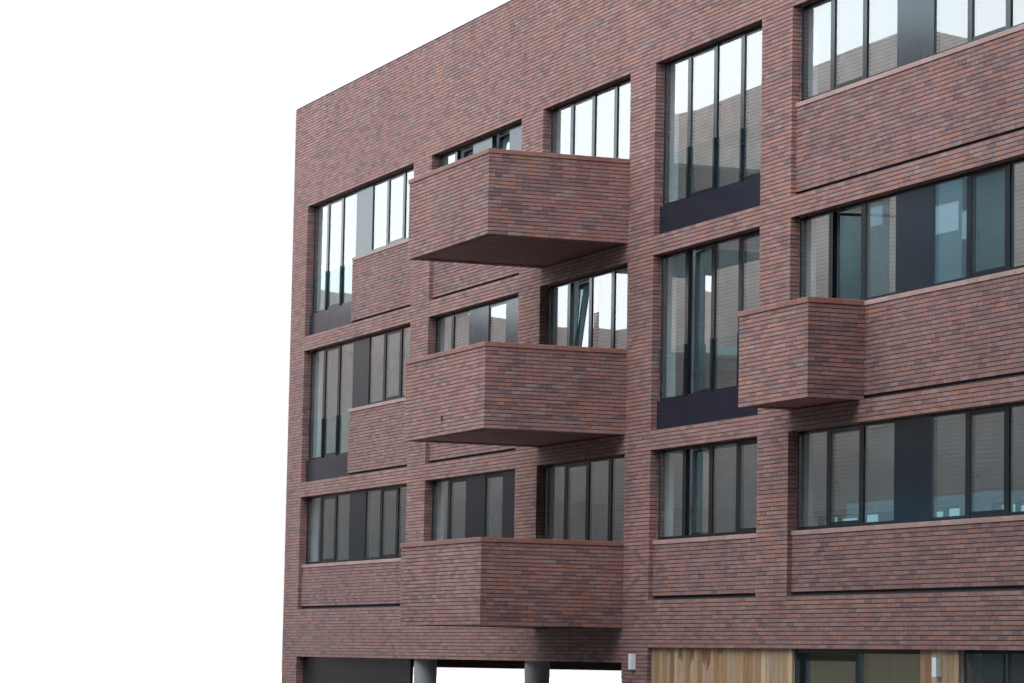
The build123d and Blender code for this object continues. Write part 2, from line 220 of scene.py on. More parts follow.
def mesh_piece(name, points, faces, material, values=None, body="building", slot=None, replaces=()):
    """An object of flat faces, each with its own named values, that rides on a body."""
    mesh = bpy.data.meshes.new(name)
    loops = np.concatenate([np.asarray(face, np.int32) for face in faces])
    sizes = np.array([len(face) for face in faces], np.int32)
    mesh.vertices.add(len(points))
    mesh.vertices.foreach_set("co", np.asarray(points, np.float32).ravel())
    mesh.loops.add(len(loops))
    mesh.loops.foreach_set("vertex_index", loops)
    mesh.polygons.add(len(sizes))
    mesh.polygons.foreach_set("loop_start", np.concatenate([[0], np.cumsum(sizes)[:-1]]).astype(np.int32))
    mesh.update(calc_edges=True)
    mesh.shade_flat()
    for label, numbers in (values or {}).items():
        attribute = mesh.attributes.new(label, "FLOAT", "FACE")
        attribute.data.foreach_set("value", np.asarray(numbers, np.float32))
    mesh.materials.append(material)
    piece = bpy.data.objects.new(name, mesh)
    bpy.context.scene.collection.objects.link(piece)
    if body:
        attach(piece, body)
    if replaces:
        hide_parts(*replaces)
    return piece


def corners(boxes):
    """The eight corners of each box, given as s0, s1, d0, d1, z0, z1."""
    boxes = np.asarray(boxes, float).reshape(-1, 6)
    places = [(s, d, z) for s in (0, 1) for d in (2, 3) for z in (4, 5)]
    return np.stack([boxes[:, place] for place in places], axis=1)


def box_faces(number, kept=BOX_FACES):
    """Faces of a number of boxes that have eight corners each."""
    return (kept[None] + np.arange(number)[:, None, None] * 8).reshape(-1, 4)


def ring_boxes(s0, s1, d0, d1, z0, z1, face):
    """Two uprights and two rails between them."""
    return [
        (s0, s0 + face, d0, d1, z0, z1),
        (s1 - face, s1, d0, d1, z0, z1),
        (s0 + face, s1 - face, d0, d1, z0, z0 + face),
        (s0 + face, s1 - face, d0, d1, z1 - face, z1),
    ]


class Pile:
    """Boxes and prisms that are joined into one mesh."""

    def __init__(self):
        self.points = []
        self.faces = []
        self.tones = []
        self.count = 0

    def add(self, wall, points, faces, tone=0.5):
        """Adds faces, in one tone or a tone each, over points given as s, d, z."""
        points = wall.place(points).reshape(-1, 3)
        faces = [np.asarray(face) + self.count for face in faces]
        self.faces += [face[::-1] for face in faces] if wall.turned else faces
        self.points.append(points)
        self.tones.append(np.broadcast_to(tone, len(faces)).astype(float))
        self.count += len(points)

    def boxes(self, wall, boxes, play=0.0, tones=None):
        """Adds boxes in random or given tones. Those with some play have no back faces."""
        points = corners(boxes)
        number = len(points)
        if not number:
            return
        if play:
            front_corners = [0, 1, 4, 5]
            points[:, front_corners, 1] += chance.uniform(0, play, (number, 1))
            points[:, front_corners, 1] += chance.uniform(0, play * corner_share, (number, 4))
            points[:, :, 2] += chance.uniform(0, play, (number, 1)) * rise_share
        kept = BOX_FACES[:5] if play else BOX_FACES
        tone = chance.uniform(0, 1, number) if tones is None else np.broadcast_to(tones, number)
        self.add(wall, points, box_faces(number, kept), np.repeat(tone, len(kept)))

    def prism(self, wall, outline, s0, s1, tone=0.5):
        """Adds a bar from s0 to s1 whose outline is given as d, z points, clockwise from the face."""
        number = len(outline)
        points = [(s, d, z) for s in (s0, s1) for d, z in outline]
        after = [(n + 1) % number for n in range(number)]
        sides = [[n, n + number, after[n] + number, after[n]] for n in range(number)]
        ends = [list(range(number)), [number + n for n in reversed(range(number))]]
        self.add(wall, points, sides + ends, tone)

    def units(self, wall, outline, start, end):
        """Adds equal clay units with joints between two ends."""
        for a, b in unit_stretches(start, end):
            self.prism(wall, outline, a, b, chance.uniform(0, 1))

    def piece(self, name, material, **options):
        values = {"tone": np.concatenate(self.tones)}
        return mesh_piece(name, np.concatenate(self.points), self.faces, material, values, **options)


def box_piece(name, wall, boxes, material, play=0.0, tones=None, **options):
    """A piece made of the boxes of one wall."""
    pile = Pile()
    pile.boxes(wall, boxes, play, tones)
    pile.piece(name, material, **options)


# Materials

class Look:
    """Shader nodes of a material or a world. The methods add nodes and return an output."""

    def __init__(self, owner):
        owner.use_nodes = True
        self.owner = owner
        self.tree = owner.node_tree
        self.tree.nodes.clear()

    def node(self, kind, inputs=None, output=0, **settings):
        """Adds a node and links its inputs to outputs, or sets them."""
        node = self.tree.nodes.new(kind)
        for name, value in settings.items():
            setattr(node, name, value)
        for name, value in (inputs or {}).items():
            socket = node.inputs[name]
            if isinstance(value, bpy.types.NodeSocket):
                self.tree.links.new(value, socket)
            else:
                socket.default_value = (*value, 1.0) if socket.type == "RGBA" else value
        return node.outputs[output] if node.outputs else None

    def noise(self, scale, detail=3.0, stretch=(1, 1, 1), roughness=0.5):
        """Noise in the building's own metres."""
        place = self.node("ShaderNodeTexCoord", output="Object")
        place = self.node("ShaderNodeMapping", {"Vector": place, "Scale": stretch})
        inputs = {"Vector": place, "Scale": scale, "Detail": detail, "Roughness": roughness}
        return self.node("ShaderNodeTexNoise", inputs, "Fac")

    def axis(self, vector, letter):
        return self.node("ShaderNodeSeparateXYZ", {0: vector}, letter)

    def height(self):
        """Height above the ground."""
        return self.axis(self.node("ShaderNodeTexCoord", output="Object"), "Z")

    def value(self, name):
        """A value that the faces carry."""
        return self.node("ShaderNodeAttribute", output="Fac", attribute_name=name)

    def spread(self, value, low, high, out_low=0.0, out_high=1.0):
        """Maps low..high of a value to another range, held at its ends."""
        inputs = {"From Min": low, "From Max": high, "To Min": out_low, "To Max": out_high}
        return self.node("ShaderNodeMapRange", {"Value": value, **inputs})

    def palette(self, value, stops, interpolation="LINEAR"):
        """A colour chosen by a value from 0 to 1, from (place, colour) stops."""
        chosen = self.node("ShaderNodeValToRGB", {"Fac": value})
        ramp = chosen.node.color_ramp
        ramp.interpolation = interpolation
        while len(ramp.elements) < len(stops):
            ramp.elements.new(0.5)
        for element, (place, colour) in zip(ramp.elements, stops):
            element.position = place
            element.color = (*colour, 1.0)
        return chosen

    def mixed(self, factor, first, second, blend="MIX"):
        """Two colours mixed."""
        inputs = {"Factor": factor, 6: first, 7: second}
        return self.node("ShaderNodeMix", inputs, 2, data_type="RGBA", blend_type=blend)

    def scaled(self, colour, value):
        """A colour times a number."""
        return self.node("ShaderNodeVectorMath", {0: colour, "Scale": value}, operation="SCALE")

    def varied(self, colour, value, low, high, dim, bright):
        """A colour that goes from dim to bright with a value, held at its ends."""
        return self.scaled(colour, self.spread(value, low, high, dim, bright))

    def result(self, operation, first, second=0.0):
        return self.node("ShaderNodeMath", {0: first, 1: second}, operation=operation)

    def eye(self):
        """1 for rays that the camera, a mirror or a clear pane sends, and 0 for light."""
        camera, glossy, transmission = (
            self.node("ShaderNodeLightPath", output=f"Is {kind} Ray")
            for kind in ("Camera", "Glossy", "Transmission")
        )
        return self.result("MAXIMUM", self.result("MAXIMUM", camera, glossy), transmission)

    def bump(self, height, strength, distance):
        return self.node("ShaderNodeBump", {"Strength": strength, "Distance": distance, "Height": height})

    def joined(self, share, first, second):
        """Two shaders, with the second one's share."""
        return self.node("ShaderNodeMixShader", {0: share, 1: first, 2: second})

    def finish(self, shader):
        """Gives a shader to the owner and hands the owner over."""
        world = isinstance(self.owner, bpy.types.World)
        self.node("ShaderNodeOutputWorld" if world else "ShaderNodeOutputMaterial", {"Surface": shader})
        return self.owner

    def surface(self, colour, roughness, grain, strength, distance, more=None):
        """Finishes with a Principled shader whose roughness wanders between two values."""
        wander = self.spread(self.noise(9.0, 4.0), 0.3, 0.7, *roughness)
        inputs = {"Base Color": colour, "Roughness": wander, "Normal": self.bump(grain, strength, distance)}
        return self.finish(self.node("ShaderNodeBsdfPrincipled", {**inputs, **(more or {})}))


def new_look(name):
    return Look(bpy.data.materials.new(name))


BRICK_TONES = (
    (0.0, (0.175, 0.101, 0.102)),
    (0.10, (0.230, 0.118, 0.106)),
    (0.28, (0.272, 0.133, 0.113)),
    (0.50, (0.300, 0.151, 0.129)),
    (0.68, (0.240, 0.145, 0.134)),
    (0.82, (0.326, 0.155, 0.115)),
    (0.93, (0.284, 0.182, 0.164)),
)

BOARD_TONES = (
    (0.0, (0.200, 0.098, 0.040)),
    (0.25, (0.330, 0.190, 0.085)),
    (0.5, (0.400, 0.275, 0.145)),
    (0.75, (0.350, 0.245, 0.165)),
    (1.0, (0.520, 0.400, 0.250)),
)


def brick_material(name, tint):
    """Fired brick with purple-grey burns and pale specks, darker towards the foot, with painted shade on
    faces that look down.
    """
    look = new_look(name)
    colour = look.palette(look.value("tone"), BRICK_TONES, "CONSTANT")
    burn = look.spread(look.noise(9.0, 4.0, (1.0, 1.0, 2.2), 0.6), 0.48, 0.68, 0.0, 0.55)
    colour = look.mixed(burn, colour, (0.150, 0.135, 0.150))
    mottle = look.noise(30.0, 6.0, roughness=0.65)
    colour = look.varied(colour, mottle, 0.25, 0.75, 0.77, 1.23)
    weather = look.noise(0.45, 4.0)
    colour = look.varied(colour, weather, 0.3, 0.7, 0.92, 1.08)
    streak = look.noise(1.0, 3.0, (2.6, 2.6, 0.22))
    colour = look.varied(colour, streak, 0.3, 0.7, 0.94, 1.06)
    fired = look.noise(16.0, 4.0, (1.0, 1.0, 1.6))
    hue = look.palette(fired, ((0.36, (0.86, 0.99, 1.12)), (0.64, (1.15, 0.98, 0.90))))
    colour = look.mixed(1.0, colour, hue, "MULTIPLY")
    speck = look.spread(look.noise(26.0, 2.0), 0.74, 0.78, 0.0, 0.7)
    colour = look.mixed(speck, colour, (0.50, 0.42, 0.38))
    colour = look.mixed(1.0, colour, tint, "MULTIPLY")
    # Darker towards the foot, below 3.8 m.
    colour = look.varied(colour, look.height(), 2.9, 3.8, 0.84, 1.0)
    # Painted shade: faces that look down, such as soffits, are mixed towards a dark red-brown.
    facing = look.axis(look.node("ShaderNodeNewGeometry", output="Normal"), "Z")
    colour = look.mixed(look.spread(facing, -0.95, -0.80, 1.0, 0.0), colour, (0.115, 0.034, 0.032))
    sheen = {"Sheen Weight": 0.12, "Sheen Roughness": 0.5, "Sheen Tint": (1.0, 0.86, 0.84)}
    grain = look.noise(150.0, 4.0)
    return look.surface(colour, (0.55, 0.75), grain, 0.5, 0.002, {"Specular IOR Level": 0.08, **sheen})


def mortar_material():
    """Raked sandy mortar, dark with age."""
    look = new_look("raked_mortar")
    grain = look.noise(120.0, 4.0)
    colour = look.palette(grain, ((0.3, (0.060, 0.036, 0.032)), (0.7, (0.125, 0.080, 0.070))))
    return look.surface(colour, (0.85, 0.95), grain, 0.6, 0.002, {"Specular IOR Level": 0.2})


def clay_material(name, pale, dark):
    """Matt fired clay in units that differ a little in tone."""
    look = new_look(name)
    colour = look.palette(look.value("tone"), ((0.0, dark), (1.0, pale)))
    colour = look.varied(colour, look.noise(30.0, 5.0), 0.25, 0.75, 0.8, 1.18)
    return look.surface(colour, (0.5, 0.72), look.noise(110.0, 3.0), 0.35, 0.0015, {"Sheen Weight": 0.1})


def concrete_material(name, pale, dark, rough=0.75):
    """Cast concrete or painted render with clouds, pits and faint runs."""
    look = new_look(name)
    colour = look.palette(look.noise(1.6, 6.0), ((0.3, dark), (0.7, pale)))
    run = look.noise(1.0, 3.0, (7.0, 7.0, 0.4))
    colour = look.varied(colour, run, 0.3, 0.7, 0.92, 1.06)
    pits = look.noise(70.0, 5.0)
    roughness = (rough - 0.1, rough + 0.1)
    return look.surface(colour, roughness, pits, 0.25, 0.0015, {"Specular IOR Level": 0.3})


def satin_metal(name, colour, painted_sky_tint, bend=1.55):
    """Dark powder-coated metal that mirrors the sky at a low angle, with a blue specular tint that paints
    the blue of the sky into the reflection.
    """
    look = new_look(name)
    pale = tuple(channel * 1.3 + 0.002 for channel in colour)
    dusty = look.palette(look.noise(3.0, 5.0), ((0.35, colour), (0.75, pale)))
    grain = look.noise(60.0, 2.0)
    return look.surface(dusty, (0.13, 0.20), grain, 0.02, 0.0004, {"IOR": bend, "Specular Tint": painted_sky_tint})


def glass_material(name, tint, face_on, at_edge, veil):
    """Window glass: a mirror at a low angle on the faces with a tone, and a tinted view straight in.

    The veil is the share of a thin greenish film, partly dust and partly painted light standing in for the
    lit rooms behind, which brightens the panes a little.
    """
    look = new_look(name)
    eye = look.eye()
    outside = look.result("MULTIPLY", look.value("tone"), eye)
    facing = look.node("ShaderNodeLayerWeight", {"Blend": 0.5}, "Facing")
    share = look.result("MULTIPLY", look.spread(facing, 0.12, 0.62, face_on, at_edge), outside)
    # Painted light: the film's teal tone stands in for the lit rooms behind the panes, as well as for dust.
    dust = look.spread(look.noise(1.3, 5.0), 0.3, 0.7, veil * 0.8, veil * 1.2)
    clear = look.node("ShaderNodeBsdfTransparent", {"Color": look.mixed(eye, (0.96, 0.97, 0.97), tint)})
    film = look.node("ShaderNodeBsdfDiffuse", {"Color": (0.55, 0.78, 0.84)})
    behind = look.joined(look.result("MULTIPLY", dust, outside), clear, film)
    smear = look.spread(look.noise(2.2, 4.0), 0.35, 0.7, 0.0, 0.015)
    wave = look.bump(look.noise(0.9, 2.0), 0.005, 0.003)
    inputs = {"Color": (0.98, 0.99, 1.0), "Roughness": smear, "Normal": wave}
    mirror = look.node("ShaderNodeBsdfGlossy", inputs)
    return look.finish(look.joined(share, behind, mirror))


def timber_material():
    """Oiled cedar boards, some faded, where water has run down from the head as far as their stain, and
    each a little darker just below its head.
    """
    look = new_look("cedar_boards")
    colour = look.palette(look.value("tone"), BOARD_TONES)
    grain = look.noise(1.0, 5.0, (95.0, 95.0, 2.6))
    colour = look.varied(colour, grain, 0.25, 0.75, 0.78, 1.2)
    fade = look.noise(3.0, 4.0, (5.0, 5.0, 0.8))
    colour = look.varied(colour, fade, 0.3, 0.7, 0.86, 1.12)
    ragged = look.spread(look.noise(1.0, 2.0, (15.0, 0.0, 0.0)), 0.35, 0.65, 0.5, 1.1)
    drop = look.result("MULTIPLY", look.value("stain"), ragged)
    below = look.result("SUBTRACT", head_height, look.height())
    wet = look.spread(look.result("SUBTRACT", drop, below), 0.0, 0.04, 0.0, 0.95)
    colour = look.mixed(wet, colour, (0.180, 0.060, 0.015))
    return look.surface(colour, (0.5, 0.7), grain, 0.35, 0.0015)


def plain_metal(name, colour, rough, grain_stretch):
    """Bare satin or brushed metal."""
    look = new_look(name)
    grain = look.noise(1.0, 4.0, grain_stretch)
    pale = tuple(min(1.0, channel * 1.05) for channel in colour)
    dark = tuple(channel * 0.93 for channel in colour)
    colour = look.palette(grain, ((0.3, dark), (0.7, pale)))
    roughness = (rough - 0.08, rough + 0.08)
    return look.surface(colour, roughness, grain, 0.1, 0.0008, {"Metallic": 0.85})


def roofing_material():
    """Roof membrane with a mineral grain and pale dust where water has stood."""
    look = new_look("roof_membrane")
    shades = ((0.35, (0.095, 0.095, 0.098)), (0.6, (0.12, 0.119, 0.116)), (0.8, (0.155, 0.150, 0.140)))
    colour = look.palette(look.noise(0.5, 5.0), shades)
    grain = look.noise(220.0, 2.0)
    colour = look.varied(colour, grain, 0.3, 0.7, 0.85, 1.15)
    return look.surface(colour, (0.75, 0.95), grain, 0.4, 0.001)


def cover_material():
    """Pale satin plastic of the wall lights, with a little grime."""
    look = new_look("light_cover")
    colour = look.palette(look.noise(24.0, 4.0), ((0.35, (0.68, 0.80, 0.86)), (0.65, (0.80, 0.89, 0.93))))
    return look.surface(colour, (0.3, 0.45), look.noise(300.0, 2.0), 0.1, 0.0005)


brick = brick_material("mixed_brick", (1.12, 1.17, 1.17))
# Painted shade: the recessed panels under the windows get a darker, bluer copy of the brick, partly for the
# shade of the recess and partly for their purpler bricks.
recess_brick = brick_material("recess_brick", (0.98, 1.04, 1.08))
mortar = mortar_material()
sill_clay = clay_material("sill_clay", (0.40, 0.250, 0.236), (0.32, 0.192, 0.178))
coping_clay = clay_material("coping_clay", (0.28, 0.115, 0.090), (0.20, 0.078, 0.061))
concrete = concrete_material("cast_concrete", (0.60, 0.59, 0.57), (0.47, 0.46, 0.45))
# Painted shade: the balcony slabs are a very dark red-brown, so that their soffits look shaded; the red
# tone is their own.
slab_concrete = concrete_material("balcony_concrete", (0.130, 0.036, 0.034), (0.100, 0.026, 0.025))
plaster = concrete_material("plaster", (0.80, 0.80, 0.78), (0.72, 0.72, 0.70), 0.85)
# Painted shade: the undercroft ceiling, pale render in itself, and the end trim are given a near-black
# colour for the shade under the building.
shaded_ceiling = concrete_material("shaded_ceiling", (0.050, 0.028, 0.028), (0.038, 0.021, 0.021), 0.8)
room_paint = concrete_material("room_paint", (0.85, 0.88, 0.88), (0.78, 0.81, 0.81), 0.8)
column_concrete = concrete_material("column_concrete", (0.34, 0.355, 0.37), (0.27, 0.282, 0.295), 0.7)
# The last colour of each dark metal is a blue tint painted into its reflection, for the blue of the sky.
dark_metal = satin_metal("dark_powder_coat", (0.010, 0.013, 0.017), (0.60, 0.86, 1.0))
panel_metal = satin_metal("panel_powder_coat", (0.005, 0.010, 0.018), (0.52, 0.84, 1.0), 1.65)
tray_metal = satin_metal("tray_powder_coat", (0.010, 0.016, 0.028), (0.36, 0.58, 0.88))
groove_metal = satin_metal("groove_flashing", (0.024, 0.032, 0.046), (0.60, 0.85, 1.0))
window_glass = glass_material("window_glass", (0.80, 0.96, 0.99), 0.08, 0.46, 0.06)
guard_glass = glass_material("guard_glass", (0.96, 0.985, 0.98), 0.06, 0.30, 0.0)
timber = timber_material()
coping_metal = plain_metal("satin_aluminium", (0.60, 0.61, 0.62), 0.45, (3.0, 3.0, 30.0))
steel = plain_metal("brushed_steel", (0.56, 0.57, 0.58), 0.3, (8.0, 8.0, 220.0))
roofing = roofing_material()
light_cover = cover_material()


# Where the walls are open

def recess_bottom(storey, bay):
    """Height of the foot of the recess that a bay's windows of one storey stand in."""
    if storey == 0:
        return 0.0
    if storey == 1 and bay != balcony_bay:
        return first_recess
    return storey * storey_height - groove_height


def full_height_modules(storey, bay, wall):
    """How many window modules, from the left of a bay, run down to the floor."""
    if wall is rear or storey == 0:
        return 0
    if bay == balcony_bay:
        return bay_modules[bay]
    if bay == small_balcony_bay:
        return small_balcony_modules if storey == small_balcony_storey else 0
    if storey == 1:
        return 0
    return {french_bay: bay_modules[bay], left_french_bay: left_french_modules}.get(bay, 0)


def window_bays(wall):
    """Each bay of each storey that has windows: storey, bay, left and right."""
    return [
        (storey, bay, bay_left[bay], bay_right[bay])
        for storey in (0, *storeys)
        for bay in bays
        if storey or (wall is rear and bay >= undercroft_bays)
    ]


def wall_openings(wall):
    """Every opening in the outer face of the front or the rear, as s0, s1, z0, z1."""
    openings = [(bay_left[0], bay_right[undercroft_bays - 1], 0.0, undercroft_head)]
    if wall is front:
        openings.append((infill_left, infill_right, 0.0, head_height))
    for storey, bay, left, right in window_bays(wall):
        openings.append((left, right, recess_bottom(storey, bay), storey * storey_height + head_height))
    return openings


def is_open(openings, s, z):
    return any(s0 < s < s1 and z0 < z < z1 for s0, s1, z0, z1 in openings)


def solid_stretches(openings, z, start, end):
    """The parts of a course between two ends that no opening cuts."""
    stretches = [(start, end)]
    for s0, s1, z0, z1 in openings:
        if not z0 < z < z1:
            continue
        cut = []
        for a, b in stretches:
            if s1 <= a or s0 >= b:
                cut.append((a, b))
                continue
            if s0 > a + small:
                cut.append((a, s0))
            if s1 < b - small:
                cut.append((s1, b))
        stretches = cut
    return stretches


# Brickwork

def even_joints(start, end):
    """Half-brick steps between two ends."""
    number = max(1, round((end - start) / half_brick))
    return list(np.linspace(start, end, number + 1))


def front_joints():
    """Half-brick steps along the whole front, with each pier and bay on whole steps."""
    joints = [0.0]
    for left, right, halves in zip(bay_left, bay_right, bay_halves):
        joints += list(np.linspace(joints[-1], joints[-1] + pier_width, pier_halves + 1))[1:]
        joints += list(np.linspace(left, right, halves + 1))[1:]
    return joints + list(np.linspace(joints[-1], joints[-1] + pier_width, pier_halves + 1))[1:]


def one_course(row, stretch, joints, ends, depth_at):
    """Bricks of one course between two ends.

    An end is "jamb", whose bricks return into a reveal, "corner", where bricks of the two walls
    take turns, or "plain", where the course meets something.
    """
    start, stop = stretch
    z0 = row * course
    z1 = z0 + course - bed_joint
    steps = [s for number, s in enumerate(joints) if (number + row) % 2 == 0]
    marks = [start, *(s for s in steps if start + least_bat < s < stop - least_bat), stop]
    bricks = []
    for number, (a, b) in enumerate(zip(marks[:-1], marks[1:])):
        at_ends = (number == 0, number == len(marks) - 2)
        s0 = a if at_ends[0] and ends[0] != "plain" else a + head_joint / 2
        s1 = b if at_ends[1] and ends[1] != "plain" else b - head_joint / 2
        deep = depth_at((a + b) / 2)
        header = b - a < half_brick * header_share
        for at_end, kind, edge, way in zip(at_ends, ends, (s0, s1), (1, -1)):
            if at_end and kind == "corner":
                deep = max(deep, brick_length if header else brick_width)
            elif at_end and kind == "jamb" and header:
                deep = max(deep, reveal_depth)
            elif at_end and kind == "jamb" and deep < reveal_depth:
                deep = max(deep, brick_width)
                stub = sorted((edge, edge + way * brick_width))
                bricks.append((*stub, brick_width + head_joint, reveal_depth, z0, z1))
        bricks.append((s0, s1, 0.0, deep, z0, z1))
    return bricks


def window_wall_bricks(wall, rows):
    """Bricks in the outer face of the front or rear, for a range of courses."""
    openings = wall_openings(wall)
    joints = front_joints()
    bricks = []
    for row in rows:
        middle = row * course + course / 2

        def depth_at(s):
            if is_open(openings, s, middle - course):
                return reveal_depth
            if is_open(openings, s, middle + course):
                return recess_depth + groove_depth
            return brick_depth

        for a, b in solid_stretches(openings, middle, 0.0, length):
            ends = ("corner" if a < small else "jamb", "corner" if b > length - small else "jamb")
            bricks += one_course(row, (a, b), joints, ends, depth_at)
    return bricks


def corner_brick(row, count):
    """How far the corner brick of a course reaches back from a face with that many half-brick steps."""
    return brick_length if (row + count) % 2 == 1 else brick_width


def end_wall_bricks(rows):
    """Bricks in the outer face of an end wall, between the corner bricks of front and rear."""
    joints = even_joints(0.0, depth)
    bricks = []
    for row in rows:
        back = corner_brick(row, 0)
        stretch = (back + head_joint / 2, depth - back - head_joint / 2)
        bricks += one_course(row, stretch, joints, ("plain", "plain"), lambda s: brick_depth)
    return bricks


def spandrel_places(wall):
    """Each recessed panel of brickwork under the windows: s0, s1, foot and sill foot."""
    places = []
    for storey, bay, left, right in window_bays(wall):
        tall = full_height_modules(storey, bay, wall)
        if tall < bay_modules[bay]:
            start = left + tall * bay_widths[bay] / bay_modules[bay]
            places.append((start, right, recess_bottom(storey, bay), storey * storey_height + sill_foot))
    return places


def spandrel_bricks(wall):
    joints = front_joints()
    bricks = []
    for s0, s1, foot, top in spandrel_places(wall):
        tall_beside = all(abs(s0 - left) > small for left in bay_left)
        ends = ("jamb" if tall_beside else "plain", "plain")
        low = round((foot + groove_height) / course)
        for row in range(low, round(top / course)):
            deep = groove_depth + brick_overlap if row == low else brick_depth
            for a, b, d0, d1, z0, z1 in one_course(row, (s0, s1), joints, ends, lambda s: deep):
                d1 = min(d1, frame_setback) + recess_depth
                bricks.append((a, b, d0 + recess_depth, d1, z0, z1))
    return [box for box in bricks if box[2] < frame_setback]


def wall_cells(wall):
    """Solid piers and bands of a window wall, each as s0, s1, z0, z1."""
    feet = (0.0, undercroft_head, undercroft_head, 0.0, head_height if wall is front else 0.0, 0.0)
    piers = [(left, left + pier_width, foot, brick_top) for left, foot in zip((0.0, *bay_right), feet)]
    bands = []
    for storey in (0, *storeys):
        for bay in bays:
            head = storey * storey_height + head_height
            if storey == 0 and bay < undercroft_bays:
                head = undercroft_head
            top = brick_top if storey == storeys[-1] else recess_bottom(storey + 1, bay)
            bands.append((bay_left[bay], bay_right[bay], head, top))
    return piers, bands


def wall_core(wall):
    """Mortar behind the bricks of a window wall, and the leaf behind it that faces the rooms."""
    outer = []
    inner = []
    piers, bands = wall_cells(wall)
    for s0, s1, z0, z1 in piers:
        low = z0 + joint_rake if z0 else 0.0
        outer.append((s0 + joint_rake, s1 - joint_rake, joint_rake, frame_setback, low, z1))
        inner_left = frame_setback if s0 < small else s0
        inner_right = s1 - frame_setback if s1 > length - small else s1
        inner.append((inner_left, inner_right, frame_setback, wall_thickness, z0, z1))
    for s0, s1, z0, z1 in bands:
        into = 2 * joint_rake
        outer.append((s0 - into, s1 + into, joint_rake, frame_setback, z0 + joint_rake, z1))
        inner.append((s0, s1, frame_setback, wall_thickness, z0, z1))
    for s0, s1, z0, z1 in spandrel_places(wall):
        face = recess_depth + joint_rake
        groove_top = z0 + groove_height + joint_rake
        outer.append((s0 + joint_rake, s1, face, frame_setback, groove_top, z1))
        outer.append((s0, s1, recess_depth + groove_depth, frame_setback, z0, groove_top))
        inner.append((s0, s1, frame_setback, wall_thickness, z0, z1))
    return outer, inner


def build_window_wall(wall, name, replaced):
    core, leaf = wall_core(wall)
    box_piece(name + "_mortar", wall, core, mortar, slot="brick", replaces=replaced)
    box_piece(name + "_inner_leaf", wall, leaf, plaster, slot="brick")
    rows = round(brick_top / course)
    for part, chosen in ("lower", range(rows // 2)), ("upper", range(rows // 2, rows)):
        bricks = window_wall_bricks(wall, chosen)
        box_piece(f"{name}_bricks_{part}", wall, bricks, brick, brick_play, slot="brick")
    box_piece(name + "_recess_bricks", wall, spandrel_bricks(wall), recess_brick, brick_play, slot="brick")


def build_end_wall(wall, name, foot):
    low = foot + joint_rake if foot else 0.0
    back = frame_setback + 2 * joint_rake
    core = (joint_rake, depth - joint_rake, joint_rake, back, low, brick_top)
    leaf = (wall_thickness, depth - wall_thickness, frame_setback, wall_thickness, foot, brick_top)
    box_piece(name + "_mortar", wall, [core], mortar, slot="brick", replaces=(name,))
    box_piece(name + "_inner_leaf", wall, [leaf], plaster, slot="brick")
    rows = range(round(foot / course), round(brick_top / course))
    box_piece(name + "_bricks", wall, end_wall_bricks(rows), brick, brick_play, slot="brick")


build_window_wall(front, "front_wall", ("front_piers", "front_bands", "front_spandrels"))
build_window_wall(rear, "rear_wall", ("rear_piers", "rear_bands", "rear_spandrels"))
build_end_wall(left_side, "left_end_wall", undercroft_head)
build_end_wall(right_side, "right_end_wall", 0.0)


# Clay sills and copings

def unit_stretches(start, end, unit=clay_unit, joint=clay_joint):
    """Equal units with joints between two ends."""
    number = max(1, round((end - start) / unit))
    edges = np.linspace(start, end, number + 1)
    return [(a + joint / 2, b - joint / 2) for a, b in zip(edges[:-1], edges[1:])]


def build_sills():
    """Sloped sills with a rounded nose and a drip."""
    nose = sill_nose
    drip = [nose + place for place in drip_places]
    pile = Pile()
    for wall in (front, rear):
        for s0, s1, _, low in spandrel_places(wall):
            top = low + sill_thickness
            outline = (
                (nose, low),
                (nose, top - nose_drops[0]),
                (nose + nose_round, top - nose_drops[1]),
                (frame_setback, top),
                (wall_thickness, top),
                (wall_thickness, low),
                (drip[3], low),
                (drip[2], low + drip_height),
                (drip[1], low + drip_height),
                (drip[0], low),
            )
            pile.units(wall, outline, s0, s1)
    pile.piece("clay_sills", sill_clay, slot="fired_clay", replaces=("window_sills",))


def build_flashings():
    """Folded metal along the foot of each groove, with a turned-down nose."""
    pile = Pile()
    nose = recess_depth + flashing_setback
    back = recess_depth + groove_depth
    for wall in (front, rear):
        for s0, s1, foot, _ in spandrel_places(wall):
            low = foot + flashing_gap
            high = foot + flashing_nose
            outline = ((nose, low), (nose, high), (back, high + flashing_fall), (back, low))
            for a, b in unit_stretches(s0, s1, flashing_unit, flashing_joint):
                pile.prism(wall, outline, a, b)
    pile.piece("groove_flashing_folds", groove_metal, slot="coping_metal", replaces=("groove_flashings",))


build_sills()
build_flashings()


# Balconies

class Balcony:
    """Sizes and faces of one brick balcony."""

    def __init__(self, name, bay, width, reach, storey, right_end):
        u0 = bay_left[bay]
        u1 = u0 + width
        self.name = name
        self.reach = reach
        self.width = width
        self.foot = storey * storey_height - groove_height
        self.wall_top = storey * storey_height + sill_foot
        self.right_end = right_end
        self.right_recess = recess_depth if right_end < frame_setback else 0.0
        self.face = Wall((u0, -reach), (1, 0), (0, 1))
        self.left = Wall((u0, -reach), (0, 1), (1, 0))
        self.right = Wall((u1, -reach), (0, 1), (-1, 0))
        low = -reach + parapet_wall
        self.inner_faces = (
            (Wall((u0 + parapet_wall, low), (1, 0), (0, -1)), width - 2 * parapet_wall),
            (Wall((u0 + parapet_wall, low), (0, 1), (-1, 0)), frame_setback - low),
            (Wall((u1 - parapet_wall, low), (0, 1), (1, 0)), right_end - low),
        )


deep_balcony = (balcony_bay, bay_widths[balcony_bay], balcony_reach)
small_doors = small_balcony_modules * bay_widths[small_balcony_bay] / bay_modules[small_balcony_bay]
small_balcony = (small_balcony_bay, small_doors + parapet_wall, small_balcony_reach, small_balcony_storey)
balconies = [Balcony(f"balcony_{storey}", *deep_balcony, storey, frame_setback) for storey in storeys]
balconies.append(Balcony("small_balcony", *small_balcony, recess_depth))


